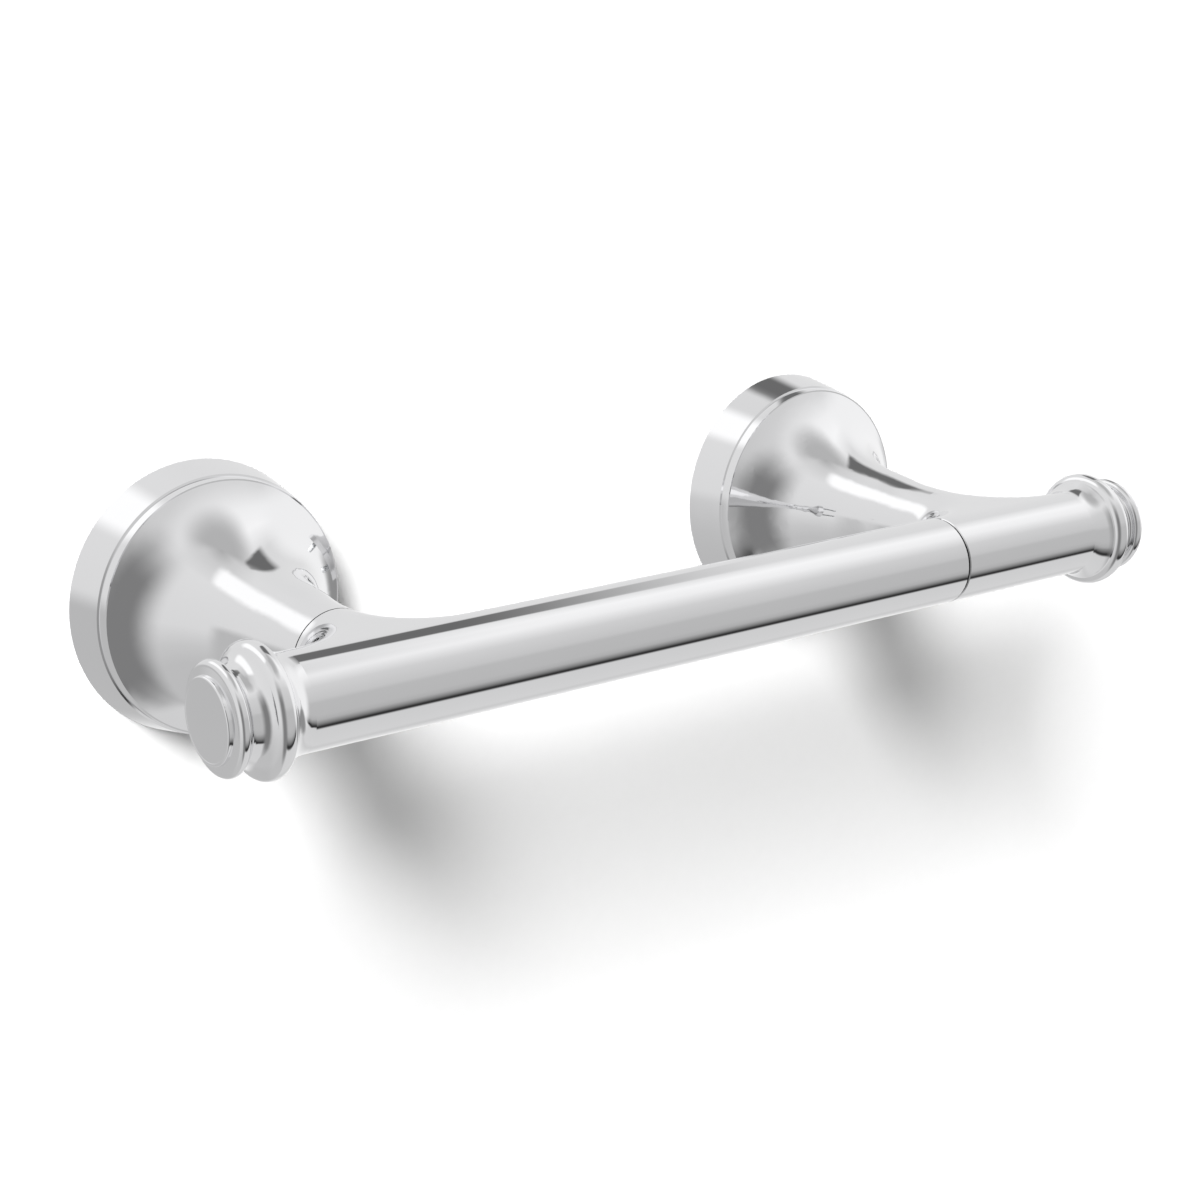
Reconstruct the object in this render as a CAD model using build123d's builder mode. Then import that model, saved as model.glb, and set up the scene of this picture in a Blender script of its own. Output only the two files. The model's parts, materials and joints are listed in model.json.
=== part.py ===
from build123d import *
from math import asin, degrees
import os

# Wall-mounted toilet paper holder with a bar that pivots up from the left post.
# Millimetres.  X runs along the bar, to the right for someone facing the wall, -Y comes
# out of the wall and +Z is up.  The origin is on the wall face, midway between the posts,
# at the height of the bar.  "Depth" means distance out from the wall face, so y = -depth.

# ---------------------------------------------------------------- driving dimensions
OVERALL_LENGTH = 240.0
POST_SPACING = 163.0
BAR_DEPTH = 75.0
BAR_RADIUS = 9.5
BAR_BORE_RADIUS = 7.0
FLANGE_RADIUS = 29.25

# flange, bell and stem of a post
BAND_DEPTH = 9.4
BAND_FRONT_RADIUS = 27.6
BEAD_RADIUS = 27.2
BEAD_DEPTH = 11.7
BELL_RIM_RADIUS = 26.6
STEM_END_DEPTH = 55.4

# the hollow behind a bell
CAVITY_RADIUS = 26.2
CAVITY_FLOOR_DEPTH = 18.5
COUNTERBORE_RADIUS = 7.2
SHOULDER_DEPTH = 34.0

# ring and cap at each end of the bar
FLARE_START = 103.0
RING_REAR = 107.4
RING_CENTRE = 109.9
RING_RADIUS = 12.9
CAP_FACE = 115.6
CAP_RADIUS = 9.3
CAP_RING_RADIUS = 10.75
TIP_RADIUS = 7.5
TIP_DOME = 0.3
TIP_FLAT = 0.5
SPIGOT_RADIUS = 4.5
SPIGOT_LENGTH = 8.0

# where the free end of the arm meets the fixed stub
END_SEAM = 61.8
END_GAP = 0.4
REST_PIN_RADIUS = 2.0
REST_PIN_REACH = 9.0
REST_PIN_SEAT = 12.0
PLUG_LENGTH = 14.0
SLOT_LENGTH = 10.5
SLOT_HALF_WIDTH = 2.2

# pivot
PIVOT_GAP = 0.3
BOLT_RADIUS = 3.0
BOLT_THREAD_RADIUS = 2.5
BOLT_HEAD_RADIUS = 5.5
BOLT_HEAD_HEIGHT = 3.6
BUSHING_RADIUS = 4.5
BUSHING_FLANGE = 1.2
SPRING_HEIGHT = 0.9
WASHER_THICKNESS = 0.9
STOP_RADIUS = 7.1
STOP_PIN_RADIUS = 1.0
STOP_END_ANGLE = 9.0
SWING = 90.0

# fixing to the wall
SCREW_SPACING = 31.0
SCREW_SHANK = 14.0
ANCHOR_RADIUS = 3.0
ANCHOR_LENGTH = 32.0
ANCHOR_BORE_DEPTH = 15.4
BRACKET_THICKNESS = 2.0
BRACKET_WIDTH = 24.0
BRACKET_TOP = 24.6
BRACKET_BOTTOM = -22.5
TAB_WIDTH = 10.0
SET_SCREW_RADIUS = 2.5
SET_SCREW_DEPTH = 5.0

FIT = 0.05
EDGE = 0.2

POST_X = POST_SPACING / 2
HALF_LENGTH = OVERALL_LENGTH / 2
NECK_DEPTH = STEM_END_DEPTH + PIVOT_GAP
ARM_END = END_SEAM - END_GAP / 2
STUB_FACE = END_SEAM + END_GAP / 2
BAR_AXIS = Axis((0, -BAR_DEPTH, 0), (1, 0, 0))
BAR_PLANE = Plane(origin=(0, -BAR_DEPTH, 0), x_dir=(1, 0, 0), z_dir=(0, 0, 1))


def post_axis(x):
    """The centreline of a post, which is square to the wall."""
    return Axis((x, 0, 0), (0, 1, 0))


def post_plane(x):
    """Local x is the radius from the post's centreline, and local y is minus the depth."""
    return Plane(origin=(x, 0, 0), x_dir=(1, 0, 0), z_dir=(0, 0, 1))


def at_depth(depth):
    """A plane parallel to the wall.  Local x is X, local y is Z, and it faces the room."""
    return Plane.XZ.offset(depth)


def across_bar(x):
    """A plane square to the bar, centred on its axis, facing +X."""
    return Plane(origin=(x, -BAR_DEPTH, 0), x_dir=(0, 1, 0), z_dir=(1, 0, 0))


# ---------------------------------------------------------------- shapes used more than once
def bell_and_stem(x):
    """Revolve the flange, bead, bell and stem of a post as one solid."""
    with BuildPart() as body:
        with BuildSketch(post_plane(x)):
            with BuildLine():
                Line((0, 0), (FLANGE_RADIUS - EDGE, 0))
                Line((FLANGE_RADIUS - EDGE, 0), (FLANGE_RADIUS, -EDGE))
                Line((FLANGE_RADIUS, -EDGE), (BAND_FRONT_RADIUS, -BAND_DEPTH))
                Line((BAND_FRONT_RADIUS, -BAND_DEPTH), (BEAD_RADIUS, -BAND_DEPTH - EDGE))
                ThreePointArc(
                    (BEAD_RADIUS, -BAND_DEPTH - EDGE),
                    (BEAD_RADIUS - 0.1, -BEAD_DEPTH + 1.2),
                    (BELL_RIM_RADIUS + 0.3, -BEAD_DEPTH),
                )
                Line((BELL_RIM_RADIUS + 0.3, -BEAD_DEPTH), (BELL_RIM_RADIUS, -BEAD_DEPTH))
                Spline(
                    (BELL_RIM_RADIUS, -BEAD_DEPTH),
                    (17.0, -20.5),
                    (12.4, -30.0),
                    (10.6, -41.0),
                    (BAR_RADIUS, -STEM_END_DEPTH),
                    tangents=[(-0.86, -0.5), (0, -1)],
                )
                Line((BAR_RADIUS, -STEM_END_DEPTH), (0, -STEM_END_DEPTH))
                Line((0, -STEM_END_DEPTH), (0, 0))
            make_face()
        revolve(axis=post_axis(x))
    return body.part


def bell_cavity(x):
    """The hollow behind a bell, with its counterbore up the stem."""
    with BuildPart() as hollow:
        with BuildSketch(post_plane(x)):
            with BuildLine():
                Polyline(
                    (0, 0),
                    (CAVITY_RADIUS, 0),
                    (CAVITY_RADIUS - 0.9, -8.6),
                    (19.5, -13.6),
                    (14.5, -CAVITY_FLOOR_DEPTH),
                    (COUNTERBORE_RADIUS, -CAVITY_FLOOR_DEPTH),
                    (COUNTERBORE_RADIUS, -SHOULDER_DEPTH),
                    (0, -SHOULDER_DEPTH),
                    (0, 0),
                )
            make_face()
        revolve(axis=post_axis(x))
    return hollow.part


def bar_with_ring(side, inner_x):
    """Revolve the bar from inner_x out to its flare and large ring; side is -1 or 1."""
    with BuildPart() as body:
        with BuildSketch(BAR_PLANE):
            with BuildLine():
                Line((side * inner_x, 0), (side * inner_x, BAR_RADIUS - EDGE))
                Line((side * inner_x, BAR_RADIUS - EDGE), (side * (inner_x + EDGE), BAR_RADIUS))
                Line((side * (inner_x + EDGE), BAR_RADIUS), (side * FLARE_START, BAR_RADIUS))
                flare_end = (side * RING_REAR, 11.2)
                ThreePointArc((side * FLARE_START, BAR_RADIUS), (side * 105.5, 10.0), flare_end)
                ring_start = (side * (RING_REAR + 0.3), 11.4)
                Line(flare_end, ring_start)
                ring_end = (side * (RING_CENTRE + 1.9), 11.6)
                ThreePointArc(ring_start, (side * RING_CENTRE, RING_RADIUS), ring_end)
                cove_end = (side * (CAP_FACE - 0.6), CAP_RADIUS)
                ThreePointArc(ring_end, (side * 113.1, 9.95), cove_end)
                Line(cove_end, (side * (CAP_FACE - EDGE), CAP_RADIUS))
                Line((side * (CAP_FACE - EDGE), CAP_RADIUS), (side * CAP_FACE, CAP_RADIUS - EDGE))
                Line((side * CAP_FACE, CAP_RADIUS - EDGE), (side * CAP_FACE, 0))
                Line((side * CAP_FACE, 0), (side * inner_x, 0))
            make_face()
        revolve(axis=BAR_AXIS)
    return body.part


def neck_and_saddle(x, start_depth):
    """The back of the bar at a post: a round neck that bends both ways into the bar.

    Each bend is half of a bent tube as thick as the bar, and a flat web fills between them.
    """
    bend_radius = BAR_DEPTH - start_depth
    with BuildPart() as saddle:
        with BuildSketch(Plane.XY.offset(-BAR_RADIUS)):
            with BuildLine():
                CenterArc((x - bend_radius, -start_depth), bend_radius, 0, -90)
                CenterArc((x + bend_radius, -start_depth), bend_radius, 180, 90)
                Line((x - bend_radius, -BAR_DEPTH), (x + bend_radius, -BAR_DEPTH))
            make_face()
        extrude(amount=2 * BAR_RADIUS)
        for side in (-1, 1):
            tube_start = Plane(origin=(x, -start_depth, 0), x_dir=(side, 0, 0), z_dir=(0, -side, 0))
            with BuildSketch(tube_start):
                with BuildLine():
                    CenterArc((0, 0), BAR_RADIUS, -90, 180)
                    Line((0, -BAR_RADIUS), (0, BAR_RADIUS))
                make_face()
            bend_axis = Axis((x + side * bend_radius, -start_depth, 0), (0, 0, 1))
            revolve(axis=bend_axis, revolution_arc=side * 90)
    return saddle.part


def finial_cap(side):
    """The stepped cap of one end of the bar, with the spigot that holds it."""
    with BuildPart() as cap:
        with BuildSketch(BAR_PLANE):
            with BuildLine():
                tip = HALF_LENGTH
                Line((side * CAP_FACE, 0), (side * CAP_FACE, CAP_RADIUS - EDGE))
                Line((side * CAP_FACE, CAP_RADIUS - EDGE), (side * (CAP_FACE + EDGE), CAP_RADIUS))
                ring_start = (side * (CAP_FACE + 0.5), CAP_RADIUS + 0.1)
                Line((side * (CAP_FACE + EDGE), CAP_RADIUS), ring_start)
                ring_end = (side * (tip - 1.5), 9.5)
                ThreePointArc(ring_start, (side * (tip - 2.9), CAP_RING_RADIUS), ring_end)
                step_start = (side * (tip - 1.2), TIP_RADIUS + 0.7)
                Line(ring_end, step_start)
                step_end = (side * (tip - 0.6), TIP_RADIUS + 0.65)
                Line(step_start, step_end)
                face_edge = (side * (tip - TIP_DOME), TIP_RADIUS)
                ThreePointArc(step_end, (side * (tip - 0.3), TIP_RADIUS + 0.45), face_edge)
                dome_radius = (TIP_RADIUS**2 + TIP_DOME**2) / (2 * TIP_DOME)
                flat_angle = degrees(asin(TIP_FLAT / dome_radius))
                rim_angle = degrees(asin(TIP_RADIUS / dome_radius))
                dome = CenterArc(
                    (side * (tip - dome_radius), 0),
                    dome_radius,
                    flat_angle if side > 0 else 180 - flat_angle,
                    side * (rim_angle - flat_angle),
                )
                flat_x = (dome @ 0).X
                Line((flat_x, TIP_FLAT), (flat_x, 0))
                Line((flat_x, 0), (side * CAP_FACE, 0))
            make_face()
        revolve(axis=BAR_AXIS)
        with BuildSketch(across_bar(side * CAP_FACE)):
            Circle(SPIGOT_RADIUS)
        extrude(amount=-side * SPIGOT_LENGTH)
    cap.part.label = "left_finial_cap" if side < 0 else "right_finial_cap"
    return cap.part


def set_screw_hole(x):
    """The tapped hole through the bottom of a flange."""
    with BuildPart() as hole:
        with BuildSketch(Plane(origin=(x, -SET_SCREW_DEPTH, -FLANGE_RADIUS - 1))):
            Circle(SET_SCREW_RADIUS + FIT)
        extrude(amount=8)
    return hole.part


# ---------------------------------------------------------------- fixed posts
def make_left_post():
    """Hollow bell and stem, bored for the pivot bolt and slotted for the stop pin."""
    with BuildPart() as post:
        add(bell_and_stem(-POST_X))
        add(bell_cavity(-POST_X), mode=Mode.SUBTRACT)
        add(set_screw_hole(-POST_X), mode=Mode.SUBTRACT)
        with BuildSketch(at_depth(SHOULDER_DEPTH)):
            with Locations((-POST_X, 0)):
                Circle(BOLT_RADIUS + 0.4)
        extrude(amount=STEM_END_DEPTH - SHOULDER_DEPTH, mode=Mode.SUBTRACT)
        with BuildSketch(at_depth(SHOULDER_DEPTH)):
            with Locations((-POST_X, 0)):
                Circle(BUSHING_RADIUS + FIT)
        extrude(amount=6 + FIT, mode=Mode.SUBTRACT)
        with BuildSketch(at_depth(STEM_END_DEPTH)):
            with Locations((-POST_X, 0)):
                Circle(BUSHING_RADIUS + FIT)
        extrude(amount=-6 - FIT, mode=Mode.SUBTRACT)
        with BuildSketch(at_depth(STEM_END_DEPTH)):
            with Locations((-POST_X, 0)):
                Circle(BUSHING_RADIUS + 0.7)
        extrude(amount=-BUSHING_FLANGE + PIVOT_GAP - FIT, mode=Mode.SUBTRACT)
        slot_start = 180 - STOP_END_ANGLE
        slot_sweep = SWING + 2 * STOP_END_ANGLE
        with BuildSketch(at_depth(STEM_END_DEPTH)):
            with BuildLine():
                inner = CenterArc(
                    (-POST_X, 0), STOP_RADIUS - STOP_PIN_RADIUS - 0.1, slot_start, slot_sweep
                )
                outer = CenterArc(
                    (-POST_X, 0), STOP_RADIUS + STOP_PIN_RADIUS + 0.1, slot_start, slot_sweep
                )
                Line(inner @ 0, outer @ 0)
                Line(inner @ 1, outer @ 1)
            make_face()
        extrude(amount=-2.6, mode=Mode.SUBTRACT)
    post.part.label = "left_post"
    return post.part


def make_right_post():
    """Bell, stem and fixed stub in one casting, with the seats of the rest pin and the cap."""
    with BuildPart() as post:
        add(neck_and_saddle(POST_X, STEM_END_DEPTH))
        with BuildSketch(across_bar(STUB_FACE)):
            Rectangle(3 * BAR_RADIUS, 3 * BAR_RADIUS)
        extrude(amount=-BAR_RADIUS, mode=Mode.SUBTRACT)
        add(bell_and_stem(POST_X))
        add(bar_with_ring(1, STUB_FACE))
        add(bell_cavity(POST_X), mode=Mode.SUBTRACT)
        add(set_screw_hole(POST_X), mode=Mode.SUBTRACT)
        with BuildSketch(across_bar(STUB_FACE)):
            Circle(REST_PIN_RADIUS + FIT)
        extrude(amount=REST_PIN_SEAT, mode=Mode.SUBTRACT)
        with BuildSketch(across_bar(CAP_FACE)):
            Circle(SPIGOT_RADIUS + FIT)
        extrude(amount=-SPIGOT_LENGTH - 1, mode=Mode.SUBTRACT)
    post.part.label = "right_post"
    return post.part


# ---------------------------------------------------------------- the pivoting arm
def make_pivot_arm():
    """Neck, bar and large ring in one casting, bored from its free end."""
    with BuildPart() as arm:
        add(neck_and_saddle(-POST_X, NECK_DEPTH))
        add(bar_with_ring(-1, -ARM_END))
        with BuildSketch(across_bar(ARM_END)):
            Circle(BAR_BORE_RADIUS)
        extrude(amount=-ARM_END - 66, mode=Mode.SUBTRACT)
        with BuildSketch(across_bar(ARM_END)):
            with Locations((0, -BAR_RADIUS)):
                Rectangle(2 * SLOT_HALF_WIDTH + 0.2, 2 * (BAR_RADIUS - 4))
        extrude(amount=-SLOT_LENGTH, mode=Mode.SUBTRACT)
        with BuildSketch(across_bar(-CAP_FACE)):
            Circle(SPIGOT_RADIUS + FIT)
        extrude(amount=SPIGOT_LENGTH + 1, mode=Mode.SUBTRACT)
        with BuildSketch(at_depth(NECK_DEPTH)):
            with Locations((-POST_X, 0)):
                Circle(BOLT_THREAD_RADIUS + FIT)
        extrude(amount=14, mode=Mode.SUBTRACT)
        with BuildSketch(at_depth(NECK_DEPTH)):
            with Locations((-POST_X - STOP_RADIUS, 0)):
                Circle(STOP_PIN_RADIUS + FIT / 2)
        extrude(amount=5, mode=Mode.SUBTRACT)
    arm.part.label = "pivot_arm"
    return arm.part


def make_arm_end_plug():
    """Nylon plug in the free end, with a slot open below that drops over the rest pin."""
    with BuildPart() as plug:
        with BuildSketch(across_bar(ARM_END - 0.5)):
            Circle(BAR_BORE_RADIUS - FIT)
        extrude(amount=-PLUG_LENGTH)
        chamfer(plug.edges().filter_by(GeomType.CIRCLE), 0.4)
        with BuildSketch(across_bar(ARM_END)):
            with BuildLine():
                top = REST_PIN_RADIUS + FIT
                Polyline(
                    (-SLOT_HALF_WIDTH, -BAR_RADIUS),
                    (-SLOT_HALF_WIDTH, top),
                    (SLOT_HALF_WIDTH, top),
                    (SLOT_HALF_WIDTH, -BAR_RADIUS),
                    close=True,
                )
            make_face()
        extrude(amount=-SLOT_LENGTH, mode=Mode.SUBTRACT)
    plug.part.label = "arm_end_plug"
    return plug.part


def make_rest_pin():
    """Steel dowel that stands out of the stub and carries the free end of the arm."""
    with BuildPart() as pin:
        with BuildSketch(across_bar(STUB_FACE + REST_PIN_SEAT - 0.3)):
            Circle(REST_PIN_RADIUS)
        extrude(amount=-(REST_PIN_SEAT - 0.3 + END_GAP + REST_PIN_REACH))
        chamfer(pin.edges().filter_by(GeomType.CIRCLE), 0.5)
    pin.part.label = "rest_pin"
    return pin.part


# ---------------------------------------------------------------- pivot hardware
SPRING_DEPTH = SHOULDER_DEPTH - BUSHING_FLANGE
WASHER_DEPTH = SPRING_DEPTH - SPRING_HEIGHT
HEAD_DEPTH = WASHER_DEPTH - WASHER_THICKNESS


def make_pivot_bolt():
    """Shoulder bolt through the stem, screwed into the neck of the arm."""
    with BuildPart() as bolt:
        with BuildSketch(at_depth(HEAD_DEPTH - BOLT_HEAD_HEIGHT)):
            with Locations((-POST_X, 0)):
                Circle(BOLT_HEAD_RADIUS)
        extrude(amount=BOLT_HEAD_HEIGHT)
        chamfer(bolt.edges().sort_by(Axis.Y)[-1], 0.6)
        with BuildSketch(at_depth(HEAD_DEPTH)):
            with Locations((-POST_X, 0)):
                Circle(BOLT_RADIUS)
        extrude(amount=NECK_DEPTH - HEAD_DEPTH)
        with BuildSketch(at_depth(NECK_DEPTH)):
            with Locations((-POST_X, 0)):
                Circle(BOLT_THREAD_RADIUS)
        extrude(amount=13)
        chamfer(bolt.edges().sort_by(Axis.Y)[0], 0.5)
        with BuildSketch(at_depth(HEAD_DEPTH - BOLT_HEAD_HEIGHT)):
            with Locations((-POST_X, 0)):
                RegularPolygon(2.0, 6, major_radius=False)
        extrude(amount=2.2, mode=Mode.SUBTRACT)
    bolt.part.label = "pivot_bolt"
    return bolt.part


def make_bushing(label, flange_start, flange_end, body_end):
    """Flanged nylon bush about the pivot bolt, between the given depths."""
    with BuildPart() as bush:
        with BuildSketch(at_depth(flange_start)):
            with Locations((-POST_X, 0)):
                Circle(BUSHING_RADIUS + (0.6 if label == "pivot_front_bushing" else 2.1))
        extrude(amount=flange_end - flange_start)
        with BuildSketch(at_depth(flange_end)):
            with Locations((-POST_X, 0)):
                Circle(BUSHING_RADIUS)
        extrude(amount=body_end - flange_end)
        with BuildSketch(at_depth(flange_start)):
            with Locations((-POST_X, 0)):
                Circle(BOLT_RADIUS + FIT)
        extrude(amount=body_end - flange_start, mode=Mode.SUBTRACT)
    bush.part.label = label
    return bush.part


def make_spring_washer():
    """Disc spring that keeps the arm snug against the front bush."""
    with BuildPart() as spring:
        with BuildSketch(post_plane(-POST_X)):
            with BuildLine():
                Polyline(
                    (BOLT_RADIUS + 0.2, -WASHER_DEPTH),
                    (BOLT_RADIUS + 0.2, -WASHER_DEPTH - 0.5),
                    (BOLT_HEAD_RADIUS + 0.7, -SPRING_DEPTH),
                    (BOLT_HEAD_RADIUS + 0.7, -SPRING_DEPTH + 0.5),
                    close=True,
                )
            make_face()
        revolve(axis=post_axis(-POST_X))
    spring.part.label = "pivot_spring_washer"
    return spring.part


def make_washer():
    """Flat washer under the head of the pivot bolt."""
    with BuildPart() as washer:
        with BuildSketch(at_depth(HEAD_DEPTH)):
            with Locations((-POST_X, 0)):
                Circle(BOLT_HEAD_RADIUS + 0.8)
                Circle(BOLT_RADIUS + 0.2, mode=Mode.SUBTRACT)
        extrude(amount=WASHER_THICKNESS)
    washer.part.label = "pivot_washer"
    return washer.part


def make_stop_pin():
    """Pin in the neck of the arm that runs in the arc slot of the stem."""
    with BuildPart() as pin:
        with BuildSketch(at_depth(NECK_DEPTH - 2.4)):
            with Locations((-POST_X - STOP_RADIUS, 0)):
                Circle(STOP_PIN_RADIUS)
        extrude(amount=2.4 + 4.8)
        chamfer(pin.edges().filter_by(GeomType.CIRCLE), 0.2)
    pin.part.label = "stop_pin"
    return pin.part


# ---------------------------------------------------------------- fixing to the wall
def make_wall_bracket(x, label):
    """Steel plate screwed to the wall, with two tabs that the flange clamps on."""
    with BuildPart() as bracket:
        with BuildSketch(at_depth(0)):
            with Locations((x, (BRACKET_TOP + BRACKET_BOTTOM) / 2)):
                RectangleRounded(BRACKET_WIDTH - 4, BRACKET_TOP - BRACKET_BOTTOM, 4)
            with Locations((x, 0)):
                Circle(BRACKET_WIDTH / 2 + 2)
            with Locations((x, -SCREW_SPACING / 2), (x, SCREW_SPACING / 2)):
                Circle(2.2, mode=Mode.SUBTRACT)
            with Locations((x, 0)):
                Circle(6, mode=Mode.SUBTRACT)
        extrude(amount=BRACKET_THICKNESS)
        with BuildSketch(at_depth(BRACKET_THICKNESS)):
            with Locations((x, BRACKET_TOP - 1), (x, BRACKET_BOTTOM + 1)):
                Rectangle(TAB_WIDTH, 2)
        extrude(amount=6)
    bracket.part.label = label
    return bracket.part


def make_bracket_screws(x, label):
    """Two pan-head screws, one above the other, that run into the wall anchors."""
    with BuildPart() as screws:
        with BuildSketch(at_depth(BRACKET_THICKNESS)):
            with Locations((x, -SCREW_SPACING / 2), (x, SCREW_SPACING / 2)):
                Circle(3.9)
        extrude(amount=2.4)
        fillet(screws.edges().group_by(Axis.Y)[0], 1.4)
        with BuildSketch(at_depth(BRACKET_THICKNESS)):
            with Locations((x, -SCREW_SPACING / 2), (x, SCREW_SPACING / 2)):
                Circle(1.9)
        extrude(amount=-SCREW_SHANK)
        with BuildSketch(at_depth(BRACKET_THICKNESS - SCREW_SHANK)):
            with Locations((x, -SCREW_SPACING / 2), (x, SCREW_SPACING / 2)):
                Circle(1.9)
        extrude(amount=-3, taper=28)
        with BuildSketch(at_depth(BRACKET_THICKNESS + 2.4)):
            with Locations((x, -SCREW_SPACING / 2), (x, SCREW_SPACING / 2)):
                Rectangle(3.6, 0.8)
                Rectangle(0.8, 3.6)
        extrude(amount=-1.3, mode=Mode.SUBTRACT)
    screws.part.label = label
    return screws.part


def make_wall_anchors(x, label):
    """Two nylon wall plugs, flush with the wall face behind the bracket."""
    with BuildPart() as anchors:
        with BuildSketch(at_depth(0)):
            with Locations((x, -SCREW_SPACING / 2), (x, SCREW_SPACING / 2)):
                Circle(ANCHOR_RADIUS)
        extrude(amount=-ANCHOR_LENGTH)
        chamfer(anchors.edges().group_by(Axis.Y)[-1], 0.8)
        with BuildSketch(at_depth(0)):
            with Locations((x, -SCREW_SPACING / 2), (x, SCREW_SPACING / 2)):
                Circle(1.9 + FIT)
        extrude(amount=-ANCHOR_BORE_DEPTH, mode=Mode.SUBTRACT)
    anchors.part.label = label
    return anchors.part


def make_set_screw(x, label):
    """Grub screw through the bottom of the flange, tight against the lower tab."""
    with BuildPart() as screw:
        with BuildSketch(Plane(origin=(x, -SET_SCREW_DEPTH, BRACKET_BOTTOM))):
            Circle(SET_SCREW_RADIUS)
        extrude(amount=-5.5)
        chamfer(screw.edges().filter_by(GeomType.CIRCLE), 0.3)
        with BuildSketch(Plane(origin=(x, -SET_SCREW_DEPTH, BRACKET_BOTTOM - 5.5))):
            RegularPolygon(1.25, 6, major_radius=False)
        extrude(amount=2.5, mode=Mode.SUBTRACT)
    screw.part.label = label
    return screw.part


# ---------------------------------------------------------------- the assembly
def make_all():
    """Every separate piece of the holder."""
    pieces = [
        make_left_post(),
        make_right_post(),
        make_pivot_arm(),
        finial_cap(-1),
        finial_cap(1),
        make_arm_end_plug(),
        make_rest_pin(),
        make_pivot_bolt(),
        make_bushing(
            "pivot_front_bushing",
            NECK_DEPTH - FIT,
            NECK_DEPTH - BUSHING_FLANGE,
            STEM_END_DEPTH - 6,
        ),
        make_bushing("pivot_rear_bushing", SPRING_DEPTH, SHOULDER_DEPTH, SHOULDER_DEPTH + 6),
        make_spring_washer(),
        make_washer(),
        make_stop_pin(),
    ]
    for side, x in (("left", -POST_X), ("right", POST_X)):
        pieces.append(make_wall_bracket(x, f"{side}_wall_bracket"))
        pieces.append(make_bracket_screws(x, f"{side}_bracket_screws"))
        pieces.append(make_wall_anchors(x, f"{side}_wall_anchors"))
        pieces.append(make_set_screw(x, f"{side}_set_screw"))
    return pieces


os.makedirs("parts", exist_ok=True)
for piece in make_all():
    export_step(piece, f"parts/{piece.label}.step")
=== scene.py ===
"""Looks of a wall-mounted toilet paper holder: finishes, a plain studio and the camera. Metres."""

import json
import math

import bpy
from mathutils import Matrix, Vector

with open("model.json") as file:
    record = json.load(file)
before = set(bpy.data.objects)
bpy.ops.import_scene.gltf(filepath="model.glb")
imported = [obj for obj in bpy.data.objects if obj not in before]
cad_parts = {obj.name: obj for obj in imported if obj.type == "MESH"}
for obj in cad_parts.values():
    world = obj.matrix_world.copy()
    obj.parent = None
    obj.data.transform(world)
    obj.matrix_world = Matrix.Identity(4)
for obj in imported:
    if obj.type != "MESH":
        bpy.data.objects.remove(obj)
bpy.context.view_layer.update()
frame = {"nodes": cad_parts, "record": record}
scene = bpy.context.scene

# Camera: in front of the wall, to the left of the holder and above it.
CAMERA_PLACE = Vector((-0.29265, -0.41295, 0.12534))
CAMERA_YAW = math.radians(37.54)
CAMERA_PITCH = math.radians(-15.50)
CAMERA_ROLL = math.radians(-0.18)
CAMERA_LENS = 67.63

# Studio: a wall just behind the flanges, a floor well below and one big soft key light,
# up to the left in front. Brightnesses are linear.
WALL_HALF_WIDTH = 5.0
WALL_GAP = 0.0003
WALL_BRIGHTNESS = 0.60
FLOOR_BRIGHTNESS = 0.35
FLOOR_SEEN = 0.90
FLOOR_DEPTH = 4.0
FLOOR_HEIGHT = -0.65
CEILING_HEIGHT = 4.0
KEY_DIRECTION = Vector((1.0, 1.0, -1.05)).normalized()
KEY_DISTANCE = 6.0
KEY_WIDTH = 1.9
KEY_HEIGHT = 2.8
KEY_POWER = 1020.0
AMBIENT = 0.12
AMBIENT_BEHIND = 0.70
CAMERA_BACKGROUND = 0.92
STUDIO_STRENGTH = 1.16


def add_node(tree, kind, **inputs):
    """A shader node with the values given for its sockets; an output given as a value is linked."""
    node = tree.nodes.new("ShaderNode" + kind)
    for name, value in inputs.items():
        socket = node.inputs[name.replace("_", " ")]
        if isinstance(value, bpy.types.NodeSocket):
            tree.links.new(value, socket)
        else:
            socket.default_value = value
    return node


def calculate(tree, operation, *values):
    """The output of a math node."""
    node = tree.nodes.new("ShaderNodeMath")
    node.operation = operation
    for socket, value in zip(node.inputs, values):
        if isinstance(value, bpy.types.NodeSocket):
            tree.links.new(value, socket)
        else:
            socket.default_value = value
    return node.outputs[0]


def choose(tree, share, under, over):
    """A shader that is under where share is 0 and over where it is 1."""
    mix = tree.nodes.new("ShaderNodeMixShader")
    tree.links.new(share, mix.inputs[0])
    tree.links.new(under.outputs[0], mix.inputs[1])
    tree.links.new(over.outputs[0], mix.inputs[2])
    return mix


def grey_ramp(tree, position, stops, low, high):
    """A ramp of greys. Stops are (place between low and high, brightness)."""
    ramp = add_node(tree, "ValToRGB", Fac=position)
    elements = ramp.color_ramp.elements
    for index, (place, value) in enumerate(stops):
        at = (place - low) / (high - low)
        element = elements[index] if index < 2 else elements.new(at)
        element.position = at
        element.color = (value, value, value, 1.0)
    return ramp.outputs["Color"]


# ---------------------------------------------------------------- finishes


CHROME = (0.86, 0.86, 0.87)


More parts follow.
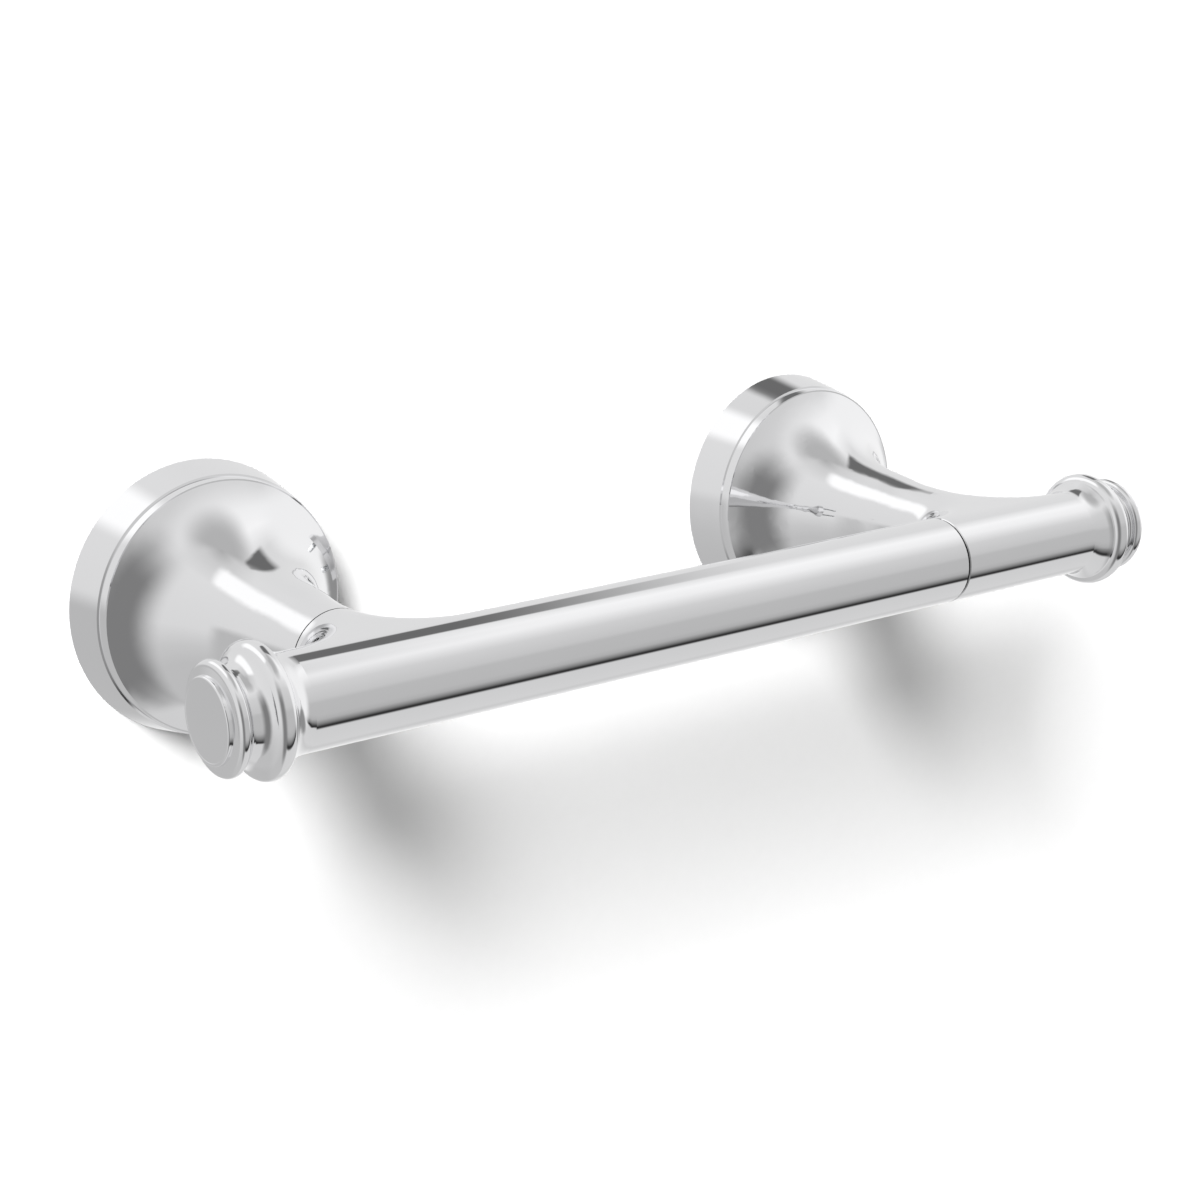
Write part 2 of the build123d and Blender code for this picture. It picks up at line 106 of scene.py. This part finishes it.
def finish(slot, colour, metallic, roughness, grain, shade, relief, bands=None):
    """A finish with fine variation. roughness is (smoothest, roughest), grain the size of its marks
    in metres, shade how much its colour varies and relief the depth of its marks in metres. bands is
    (pitch, depth) of turned rings or moulded ribs along Y, in metres."""
    material = bpy.data.materials.new(slot)
    material.use_nodes = True
    tree = material.node_tree
    bsdf = tree.nodes["Principled BSDF"]
    bsdf.inputs["Metallic"].default_value = metallic
    place = tree.nodes.new("ShaderNodeTexCoord").outputs["Object"]
    marks = add_node(tree, "TexNoise", Vector=place, Scale=1 / grain, Detail=5.0, Roughness=0.6)
    cloud = add_node(tree, "TexNoise", Vector=place, Scale=0.2 / grain, Detail=3.0)
    mixed = calculate(tree, "MULTIPLY", marks.outputs["Fac"], cloud.outputs["Fac"])
    spread = add_node(tree, "MapRange", Value=mixed, From_Min=0.12, From_Max=0.42,
                      To_Min=roughness[0], To_Max=roughness[1])
    tree.links.new(spread.outputs["Result"], bsdf.inputs["Roughness"])
    ramp = add_node(tree, "ValToRGB", Fac=cloud.outputs["Fac"])
    for element, at, change in zip(ramp.color_ramp.elements, (0.35, 0.65), (1 - shade, 1 + shade)):
        element.position = at
        element.color = (*(min(1.0, c * change) for c in colour), 1.0)
    tree.links.new(ramp.outputs["Color"], bsdf.inputs["Base Color"])
    bump = add_node(tree, "Bump", Height=marks.outputs["Fac"], Distance=relief, Strength=1.0)
    if bands:
        pitch, depth = bands
        wave = add_node(tree, "TexWave", Vector=place, Scale=math.pi / 10 / pitch, Distortion=0.0)
        wave.bands_direction = "Y"
        bump = add_node(tree, "Bump", Height=wave.outputs["Fac"], Distance=depth, Strength=1.0,
                        Normal=bump.outputs["Normal"])
    tree.links.new(bump.outputs["Normal"], bsdf.inputs["Normal"])
    return material


# slot: colour, metallic, roughness, grain, shade, relief, bands
FINISHES = {
    "chrome_posts": (CHROME, 1.0, (0.035, 0.06), 0.012, 0.008, 0.000002),
    "chrome_arm": (CHROME, 1.0, (0.03, 0.05), 0.010, 0.008, 0.000001),
    "chrome_caps": (CHROME, 1.0, (0.035, 0.055), 0.008, 0.008, 0.000001),
    "zinc_plated_bracket": ((0.62, 0.64, 0.66), 1.0, (0.25, 0.5), 0.002, 0.10, 0.00002),
    "screw_steel": ((0.60, 0.60, 0.62), 1.0, (0.22, 0.45), 0.001, 0.08, 0.00001, (0.0014, 0.0003)),
    "black_oxide_steel": ((0.05, 0.05, 0.055), 0.6, (0.3, 0.5), 0.0008, 0.20, 0.00001),
    "stainless_pin": ((0.66, 0.66, 0.67), 1.0, (0.15, 0.35), 0.0008, 0.06, 0.000005),
    "white_nylon": ((0.85, 0.85, 0.82), 0.0, (0.4, 0.6), 0.001, 0.03, 0.00001),
    "grey_anchor_nylon": ((0.55, 0.56, 0.57), 0.0, (0.4, 0.6), 0.001, 0.04, 0.00001, (0.0025, 0.0002)),
}
finishes = {slot: finish(slot, *values) for slot, values in FINISHES.items()}
for part in frame["record"]["subparts"]:
    mesh = frame["nodes"][part["node"]].data
    mesh.materials.clear()
    mesh.materials.append(finishes[part["material_slot"]])

# ---------------------------------------------------------------- studio


def plane(name, corners, brightness, seen=None):
    """A plain matt plane that the chrome doesn't mirror, transparent from behind. seen is the even
    brightness that the camera sees, where that isn't the lit one."""
    mesh = bpy.data.meshes.new(name)
    mesh.from_pydata(corners, [], [range(len(corners))])
    thing = bpy.data.objects.new(name, mesh)
    scene.collection.objects.link(thing)
    material = bpy.data.materials.new(name)
    material.use_nodes = True
    tree = material.node_tree
    tree.nodes.clear()
    place = tree.nodes.new("ShaderNodeTexCoord").outputs["Object"]
    speckle = add_node(tree, "TexNoise", Scale=300.0, Detail=2.0, Vector=place)
    shade = grey_ramp(tree, speckle.outputs["Fac"],
                      [(0.0, brightness * 0.99), (1.0, brightness * 1.01)], 0.0, 1.0)
    front = add_node(tree, "BsdfDiffuse", Color=shade)
    back = add_node(tree, "BsdfTransparent")
    side = tree.nodes.new("ShaderNodeNewGeometry").outputs["Backfacing"]
    surface = choose(tree, side, front, back)
    if seen:
        camera_ray = tree.nodes.new("ShaderNodeLightPath").outputs["Is Camera Ray"]
        surface = choose(tree, camera_ray, surface, add_node(tree, "Emission", Strength=seen))
    output = tree.nodes.new("ShaderNodeOutputMaterial")
    tree.links.new(surface.outputs[0], output.inputs["Surface"])
    mesh.materials.append(material)
    thing.visible_glossy = False


wall_ends = [(-WALL_HALF_WIDTH, FLOOR_HEIGHT), (WALL_HALF_WIDTH, FLOOR_HEIGHT),
             (WALL_HALF_WIDTH, CEILING_HEIGHT), (-WALL_HALF_WIDTH, CEILING_HEIGHT)]
floor_ends = [(-WALL_HALF_WIDTH, -FLOOR_DEPTH), (WALL_HALF_WIDTH, -FLOOR_DEPTH),
              (WALL_HALF_WIDTH, FLOOR_DEPTH), (-WALL_HALF_WIDTH, FLOOR_DEPTH)]
plane("studio_wall", [(x, WALL_GAP, z) for x, z in wall_ends], WALL_BRIGHTNESS)
plane("studio_floor", [(x, y, FLOOR_HEIGHT) for x, y in floor_ends], FLOOR_BRIGHTNESS, FLOOR_SEEN)

light = bpy.data.lights.new("key", "AREA")
light.shape = "ELLIPSE"
light.size = KEY_WIDTH
light.size_y = KEY_HEIGHT
light.energy = KEY_POWER
key = bpy.data.objects.new("key", light)
scene.collection.objects.link(key)
key.location = -KEY_DIRECTION * KEY_DISTANCE
key.rotation_mode = "QUATERNION"
key.rotation_quaternion = KEY_DIRECTION.to_track_quat("-Z", "Y")
key.visible_glossy = False
key.visible_camera = False


def rise(tree, value, start, end):
    """0 before start, 1 after end, smooth between."""
    ranged = add_node(tree, "MapRange", Value=value, From_Min=start, From_Max=end, To_Min=0.0, To_Max=1.0)
    ranged.interpolation_type = "SMOOTHSTEP"
    return ranged.outputs["Result"]


def span(tree, value, low, high, edge):
    """1 between low and high, 0 outside, with soft edges of that width."""
    return calculate(tree, "MULTIPLY", rise(tree, value, low - edge, low),
                     rise(tree, value, high + edge, high))


def cover(tree, under, over, share):
    """under where share is 0 and over where it is 1."""
    mix = tree.nodes.new("ShaderNodeMix")
    tree.links.new(share, mix.inputs[0])
    for socket, value in ((mix.inputs[2], under), (mix.inputs[3], over)):
        if isinstance(value, bpy.types.NodeSocket):
            tree.links.new(value, socket)
        else:
            socket.default_value = value
    return mix.outputs[0]


def direction(azimuth, height):
    """The way to look for an azimuth and a height in degrees."""
    a, e = math.radians(azimuth), math.radians(height)
    return Vector((math.sin(a) * math.cos(e), -math.cos(a) * math.cos(e), math.sin(e)))


def dot_with(tree, way, vector):
    """The dot product of the way looked and a fixed vector."""
    dot = tree.nodes.new("ShaderNodeVectorMath")
    dot.operation = "DOT_PRODUCT"
    tree.links.new(way, dot.inputs[0])
    dot.inputs[1].default_value = vector
    return dot.outputs["Value"]


def spot(tree, way, centre, inner, outer):
    """1 within inner degrees of a direction, 0 beyond outer."""
    cosines = math.cos(math.radians(outer)), math.cos(math.radians(inner))
    return rise(tree, dot_with(tree, way, centre), *cosines)


def strip_lamp(tree, way, start, end, half_width, edge):
    """1 along the arc from one direction to another, with soft edges. Angles are in degrees."""
    across = calculate(tree, "ABSOLUTE", dot_with(tree, way, start.cross(end).normalized()))
    sines = math.sin(math.radians(half_width + edge)), math.sin(math.radians(half_width))
    reach = math.degrees(start.angle(end)) / 2
    along = spot(tree, way, (start + end).normalized(), reach, reach + edge)
    return calculate(tree, "MULTIPLY", rise(tree, across, *sines), along)


def studio_light():
    """What the chrome mirrors. Azimuth is 0 in front and 90 to the right, turn goes up from the
    floor in front, over the top and down the back."""
    world = bpy.data.worlds.new("studio")
    scene.world = world
    world.use_nodes = True
    tree = world.node_tree
    tree.nodes.clear()
    way = tree.nodes.new("ShaderNodeTexCoord").outputs["Generated"]
    x, y, z = add_node(tree, "SeparateXYZ", Vector=way).outputs
    ahead = calculate(tree, "MULTIPLY", y, -1.0)
    degrees = 180 / math.pi
    turn = calculate(tree, "MULTIPLY", calculate(tree, "ARCTAN2", z, ahead), degrees)
    azimuth = calculate(tree, "MULTIPLY", calculate(tree, "ARCTAN2", x, ahead), degrees)
    height = calculate(tree, "MULTIPLY", calculate(tree, "ARCSINE", z), degrees)

    right_stops = [(-180, 0.70), (180, 0.70), (-152, 0.86), (-112, 0.57), (-100, 0.63), (-54, 0.61),
                   (-50, 0.03), (-46, 0.03), (-40, 0.20), (-30, 0.42), (-20, 0.47), (8, 0.48),
                   (16, 0.55), (44, 0.62), (72, 0.86), (92, 0.92), (118, 0.69), (150, 0.70)]
    left_stops = [(-90, 0.50), (90, 0.40), (-50, 0.50), (-30, 0.56), (-8, 0.68), (50, 0.72), (75, 0.60)]
    turn_share = calculate(tree, "MULTIPLY_ADD", turn, 1 / 360, 0.5)
    height_share = calculate(tree, "MULTIPLY_ADD", height, 1 / 180, 0.5)
    right_side = grey_ramp(tree, turn_share, right_stops, -180, 180)
    left_side = grey_ramp(tree, height_share, left_stops, -90, 90)

    # The far right end of the studio is one bright panel.
    right_side = cover(tree, right_side, 0.86, spot(tree, way, direction(90, 5), 20, 40))
    # The ceiling is dimmer than the panels round it.
    right_side = cover(tree, right_side, 0.44, rise(tree, z, 0.80, 0.98))
    # A dark card over the back of the wall, to the right. Its far edge slants: the further right,
    # the further back it reaches.
    slant = calculate(tree, "MULTIPLY_ADD", x, -60, turn)
    card_width = calculate(tree, "MULTIPLY", rise(tree, x, 0.10, 0.22), rise(tree, x, 0.66, 0.53))
    card_depth = calculate(tree, "MULTIPLY", rise(tree, turn, 109, 114), rise(tree, slant, 113, 107))
    card = calculate(tree, "MULTIPLY", card_width, card_depth)
    right_side = cover(tree, right_side, 0.14, card)
    # The gap under the right-hand panel.
    right_side = cover(tree, right_side, 0.26, spot(tree, way, direction(93, -17), 7, 18))
    # A strip lamp above and behind, to the left, and a dimmer lower back.
    low_back = calculate(tree, "MULTIPLY", rise(tree, y, 0.35, 0.60), rise(tree, z, 0.05, -0.15))
    left_side = cover(tree, left_side, 0.47, low_back)
    lamp = strip_lamp(tree, way, direction(-167, 28), direction(-120, 60), 7, 10)
    left_side = cover(tree, left_side, 1.0, lamp)

    leftness = calculate(tree, "ADD", rise(tree, azimuth, 145, 175), rise(tree, azimuth, -22, -58))
    value = cover(tree, right_side, left_side, leftness)
    # A tall dark screen to the left of the camera.
    screen = calculate(tree, "MULTIPLY", span(tree, azimuth, -50, -38, 26), span(tree, height, -45, 15, 45))
    value = cover(tree, value, 0.20, screen)

    path = tree.nodes.new("ShaderNodeLightPath")
    mirrored = add_node(tree, "Background", Color=value, Strength=STUDIO_STRENGTH)
    ambient = cover(tree, AMBIENT, AMBIENT_BEHIND, rise(tree, y, 0.0, 0.3))
    plain_strength = cover(tree, ambient, CAMERA_BACKGROUND, path.outputs["Is Camera Ray"])
    plain = add_node(tree, "Background", Strength=plain_strength)
    plain.inputs["Color"].default_value = (1.0, 1.0, 1.0, 1.0)
    both = choose(tree, path.outputs["Is Glossy Ray"], plain, mirrored)
    output = tree.nodes.new("ShaderNodeOutputWorld")
    tree.links.new(both.outputs[0], output.inputs["Surface"])


studio_light()
scene.view_settings.view_transform = "Standard"

# ---------------------------------------------------------------- camera


def place_camera():
    """The camera that the picture is taken from."""
    forward = Vector((math.sin(CAMERA_YAW) * math.cos(CAMERA_PITCH),
                      math.cos(CAMERA_YAW) * math.cos(CAMERA_PITCH), math.sin(CAMERA_PITCH)))
    level = Vector((math.cos(CAMERA_YAW), -math.sin(CAMERA_YAW), 0.0))
    upright = level.cross(forward)
    right = level * math.cos(CAMERA_ROLL) + upright * math.sin(CAMERA_ROLL)
    up = upright * math.cos(CAMERA_ROLL) - level * math.sin(CAMERA_ROLL)
    data = bpy.data.cameras.new("camera")
    data.lens = CAMERA_LENS
    data.sensor_width = 36.0
    data.clip_start = 0.01
    camera = bpy.data.objects.new("camera", data)
    scene.collection.objects.link(camera)
    axes = Matrix((right, up, -forward)).transposed().to_4x4()
    camera.matrix_world = Matrix.Translation(CAMERA_PLACE) @ axes
    scene.camera = camera


place_camera()
